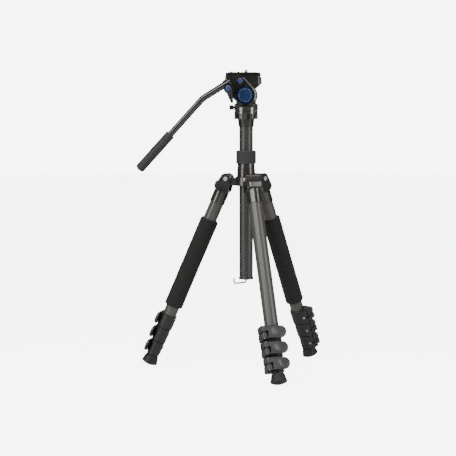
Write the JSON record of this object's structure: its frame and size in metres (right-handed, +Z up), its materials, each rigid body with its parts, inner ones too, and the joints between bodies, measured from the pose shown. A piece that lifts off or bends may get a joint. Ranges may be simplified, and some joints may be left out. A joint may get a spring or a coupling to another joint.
{
  "type": "tripod with fluid head",
  "caption": "Carbon tripod with telescoping flip-lever legs, raised column with bag hook, and a pan-and-tilt fluid head with bent pan bar and sliding plate",
  "frame": {"origin": "the middle of the footprint box, on the floor under the feet", "axes": "+Z up along the column, +X towards the lens side of the head, so the pan bar trails towards -X; the column stands 36 mm towards +X and 14 mm towards +Y of the origin"},
  "size_m": [0.3718, 0.3893, 0.6156],
  "materials": {
    "carbon_tube": "clear-coated carbon fibre weave, dark grey",
    "clamp_plastic": "fine-grained glass-filled nylon",
    "lever_plastic": "satin moulded nylon",
    "black_anodised": "satin black anodised",
    "tab_metal": "dark anodised",
    "foot_rubber": "moulded rubber",
    "foam": "closed-cell foam",
    "steel": "polished stainless steel",
    "grip_rubber": "ribbed rubber",
    "head_casting": "metallic dark grey-green",
    "blue_cap": "blue anodised",
    "blue_button": "light blue anodised",
    "knob_black": "satin black",
    "gloss_black": "gloss black",
    "plate_metal": "black anodised",
    "pad_rubber": "rubber",
    "screw_steel": "machined steel"
  },
  "bodies": {
    "hub": {"hub": "black_anodised", "hinge_bolts": "steel"},
    "lock_ring": {"lock_ring": "grip_rubber"},
    "column": {"column_tube": "carbon_tube", "column_plate": "black_anodised", "column_plug": "black_anodised", "pan_base": "head_casting"},
    "hook": {"bag_hook": "steel"},
    "pan": {"pan_housing": "head_casting"},
    "pan_knob": {"pan_knob": "knob_black"},
    "platform": {"tilt_platform": "head_casting", "tilt_axle": "screw_steel", "near_cap": "blue_cap", "far_cap": "blue_cap"},
    "tilt_knob": {"tilt_knob": "knob_black"},
    "clamp_knob": {"clamp_knob": "knob_black"},
    "release_button": {"release_button": "blue_button"},
    "plate": {"camera_plate": "plate_metal", "plate_pads": "pad_rubber"},
    "camera_screw": {"camera_screw": "screw_steel"},
    "pan_bar": {"bar_bracket": "knob_black", "pan_bar": "gloss_black", "bar_grip": "grip_rubber"},
    "bar_lever": {"bar_lever": "knob_black"},
    "rear_upper": {"rear_shoulder": "black_anodised", "rear_tube_1": "carbon_tube", "rear_clamp_1": "clamp_plastic", "rear_foam_grip": "foam"},
    "rear_stop_tab": {"rear_stop_tab": "tab_metal"},
    "rear_second": {"rear_section_2": "clamp_plastic"},
    "rear_third": {"rear_section_3": "clamp_plastic"},
    "rear_lowest": {"rear_tube_4": "carbon_tube", "rear_foot": "foot_rubber"},
    "rear_lever_1": {"rear_lever_1": "lever_plastic"},
    "rear_lever_2": {"rear_lever_2": "lever_plastic"},
    "rear_lever_3": {"rear_lever_3": "lever_plastic"},
    "right_upper": {"right_shoulder": "black_anodised", "right_tube_1": "carbon_tube", "right_clamp_1": "clamp_plastic"},
    "right_stop_tab": {"right_stop_tab": "tab_metal"},
    "right_second": {"right_section_2": "clamp_plastic"},
    "right_third": {"right_section_3": "clamp_plastic"},
    "right_lowest": {"right_tube_4": "carbon_tube", "right_foot": "foot_rubber"},
    "right_lever_1": {"right_lever_1": "lever_plastic"},
    "right_lever_2": {"right_lever_2": "lever_plastic"},
    "right_lever_3": {"right_lever_3": "lever_plastic"},
    "left_upper": {"left_shoulder": "black_anodised", "left_tube_1": "carbon_tube", "left_clamp_1": "clamp_plastic", "left_foam_grip": "foam"},
    "left_stop_tab": {"left_stop_tab": "tab_metal"},
    "left_second": {"left_section_2": "clamp_plastic"},
    "left_third": {"left_section_3": "clamp_plastic"},
    "left_lowest": {"left_tube_4": "carbon_tube", "left_foot": "foot_rubber"},
    "left_lever_1": {"left_lever_1": "lever_plastic"},
    "left_lever_2": {"left_lever_2": "lever_plastic"},
    "left_lever_3": {"left_lever_3": "lever_plastic"}
  },
  "joints": [
    {"name": "column_lift", "type": "slide", "parent": "hub", "child": "column", "axis": [0, 0, 1], "range_m": [-0.045, 0.17]},
    {"name": "column_lock_twist", "type": "hinge", "parent": "hub", "child": "lock_ring", "pos_m": [0.0357, 0.0139, 0.437], "axis": [0, 0, 1], "range_deg": [0, 90]},
    {"name": "hook_swivel", "type": "hinge", "parent": "column", "child": "hook", "pos_m": [0.0357, 0.0139, 0.186], "axis": [0, 0, 1], "continuous": true},
    {"name": "pan", "type": "hinge", "parent": "column", "child": "pan", "pos_m": [0.0357, 0.0139, 0.532], "axis": [0, 0, 1], "continuous": true},
    {"name": "pan_lock_turn", "type": "hinge", "parent": "pan", "child": "pan_knob", "pos_m": [0.01076, 0.01216, 0.539], "axis": [-0.9976, -0.0698, 0], "range_deg": [0, 180]},
    {"name": "tilt", "type": "hinge", "parent": "pan", "child": "platform", "pos_m": [0.0357, 0.0139, 0.564], "axis": [0, 1, 0], "range_deg": [-30, 60]},
    {"name": "tilt_lock_turn", "type": "hinge", "parent": "platform", "child": "tilt_knob", "pos_m": [0.0357, 0.0459, 0.564], "axis": [0, 1, 0], "range_deg": [0, 180]},
    {"name": "plate_clamp_turn", "type": "hinge", "parent": "platform", "child": "clamp_knob", "pos_m": [0.0457, 0.0459, 0.596], "axis": [0, 1, 0], "range_deg": [0, 180]},
    {"name": "release_button_press", "type": "slide", "parent": "platform", "child": "release_button", "axis": [0, 1, 0], "range_m": [0, 0.0025], "stiffness_N_per_m": 400},
    {"name": "plate_slide", "type": "slide", "parent": "platform", "child": "plate", "axis": [1, 0, 0], "range_m": [-0.015, 0.02]},
    {"name": "camera_screw_turn", "type": "hinge", "parent": "plate", "child": "camera_screw", "pos_m": [0.0357, 0.0139, 0.608], "axis": [0, 0, 1], "continuous": true},
    {"name": "pan_bar_swing", "type": "hinge", "parent": "platform", "child": "pan_bar", "pos_m": [0.0035, -0.0161, 0.5765], "axis": [0, 1, 0], "range_deg": [0, 60]},
    {"name": "bar_lever_turn", "type": "hinge", "parent": "pan_bar", "child": "bar_lever", "pos_m": [0.0035, -0.0341, 0.5765], "axis": [0, 1, 0], "range_deg": [-40, 40]},
    {"name": "rear_leg_spread", "type": "hinge", "parent": "hub", "child": "rear_upper", "pos_m": [-0.00391, 0.01947, 0.393], "axis": [0.1392, 0.9903, 0], "range_deg": [-23.5, 0]},
    {"name": "rear_stop_pull", "type": "slide", "parent": "rear_upper", "child": "rear_stop_tab", "axis": [-0.9081, 0.1276, 0.3987], "range_m": [0, 0.0055], "stiffness_N_per_m": 300},
    {"name": "rear_section_2_slide", "type": "slide", "parent": "rear_upper", "child": "rear_second", "axis": [-0.3949, 0.0555, -0.9171], "range_m": [0, 0.235]},
    {"name": "rear_lever_1_flip", "type": "hinge", "parent": "rear_upper", "child": "rear_lever_1", "pos_m": [-0.14456, 0.06186, 0.10173], "axis": [-0.3949, 0.0555, -0.9171], "range_deg": [0, 125]},
    {"name": "rear_section_3_slide", "type": "slide", "parent": "rear_second", "child": "rear_third", "axis": [-0.3949, 0.0555, -0.9171], "range_m": [0, 0.235]},
    {"name": "rear_lever_2_flip", "type": "hinge", "parent": "rear_second", "child": "rear_lever_2", "pos_m": [-0.15577, 0.06191, 0.07243], "axis": [-0.3949, 0.0555, -0.9171], "range_deg": [0, 125]},
    {"name": "rear_section_4_slide", "type": "slide", "parent": "rear_third", "child": "rear_lowest", "axis": [-0.3949, 0.0555, -0.9171], "range_m": [0, 0.235]},
    {"name": "rear_lever_3_flip", "type": "hinge", "parent": "rear_third", "child": "rear_lever_3", "pos_m": [-0.16698, 0.06198, 0.04313], "axis": [-0.3949, 0.0555, -0.9171], "range_deg": [0, 125]},
    {"name": "right_leg_spread", "type": "hinge", "parent": "hub", "child": "right_upper", "pos_m": [0.05068, -0.02319, 0.393], "axis": [-0.9272, -0.3746, 0], "range_deg": [-23.5, 0]},
    {"name": "right_stop_pull", "type": "slide", "parent": "right_upper", "child": "right_stop_tab", "axis": [0.3435, -0.8503, 0.3987], "range_m": [0, 0.0055], "stiffness_N_per_m": 300},
    {"name": "right_section_2_slide", "type": "slide", "parent": "right_upper", "child": "right_second", "axis": [0.1494, -0.3697, -0.9171], "range_m": [0, 0.235]},
    {"name": "right_lever_1_flip", "type": "hinge", "parent": "right_upper", "child": "right_lever_1", "pos_m": [0.0843, -0.16619, 0.10173], "axis": [0.1494, -0.3697, -0.9171], "range_deg": [0, 125]},
    {"name": "right_section_3_slide", "type": "slide", "parent": "right_second", "child": "right_third", "axis": [0.1494, -0.3697, -0.9171], "range_m": [0, 0.235]},
    {"name": "right_lever_2_flip", "type": "hinge", "parent": "right_second", "child": "right_lever_2", "pos_m": [0.08985, -0.17592, 0.07243], "axis": [0.1494, -0.3697, -0.9171], "range_deg": [0, 125]},
    {"name": "right_section_4_slide", "type": "slide", "parent": "right_third", "child": "right_lowest", "axis": [0.1494, -0.3697, -0.9171], "range_m": [0, 0.235]},
    {"name": "right_lever_3_flip", "type": "hinge", "parent": "right_third", "child": "right_lever_3", "pos_m": [0.0954, -0.18566, 0.04313], "axis": [0.1494, -0.3697, -0.9171], "range_deg": [0, 125]},
    {"name": "left_leg_spread", "type": "hinge", "parent": "hub", "child": "left_upper", "pos_m": [0.06033, 0.04542, 0.393], "axis": [0.788, -0.6157, 0], "range_deg": [-23.5, 0]},
    {"name": "left_stop_pull", "type": "slide", "parent": "left_upper", "child": "left_stop_tab", "axis": [0.5646, 0.7227, 0.3987], "range_m": [0, 0.0055], "stiffness_N_per_m": 300},
    {"name": "left_section_2_slide", "type": "slide", "parent": "left_upper", "child": "left_second", "axis": [0.2455, 0.3142, -0.9171], "range_m": [0, 0.235]},
    {"name": "left_lever_1_flip", "type": "hinge", "parent": "left_upper", "child": "left_lever_1", "pos_m": [0.16736, 0.14604, 0.10173], "axis": [0.2455, 0.3142, -0.9171], "range_deg": [0, 125]},
    {"name": "left_section_3_slide", "type": "slide", "parent": "left_second", "child": "left_third", "axis": [0.2455, 0.3142, -0.9171], "range_m": [0, 0.235]},
    {"name": "left_lever_2_flip", "type": "hinge", "parent": "left_second", "child": "left_lever_2", "pos_m": [0.17302, 0.15571, 0.07243], "axis": [0.2455, 0.3142, -0.9171], "range_deg": [0, 125]},
    {"name": "left_section_4_slide", "type": "slide", "parent": "left_third", "child": "left_lowest", "axis": [0.2455, 0.3142, -0.9171], "range_m": [0, 0.235]},
    {"name": "left_lever_3_flip", "type": "hinge", "parent": "left_third", "child": "left_lever_3", "pos_m": [0.17867, 0.16539, 0.04313], "axis": [0.2455, 0.3142, -0.9171], "range_deg": [0, 125]}
  ]
}
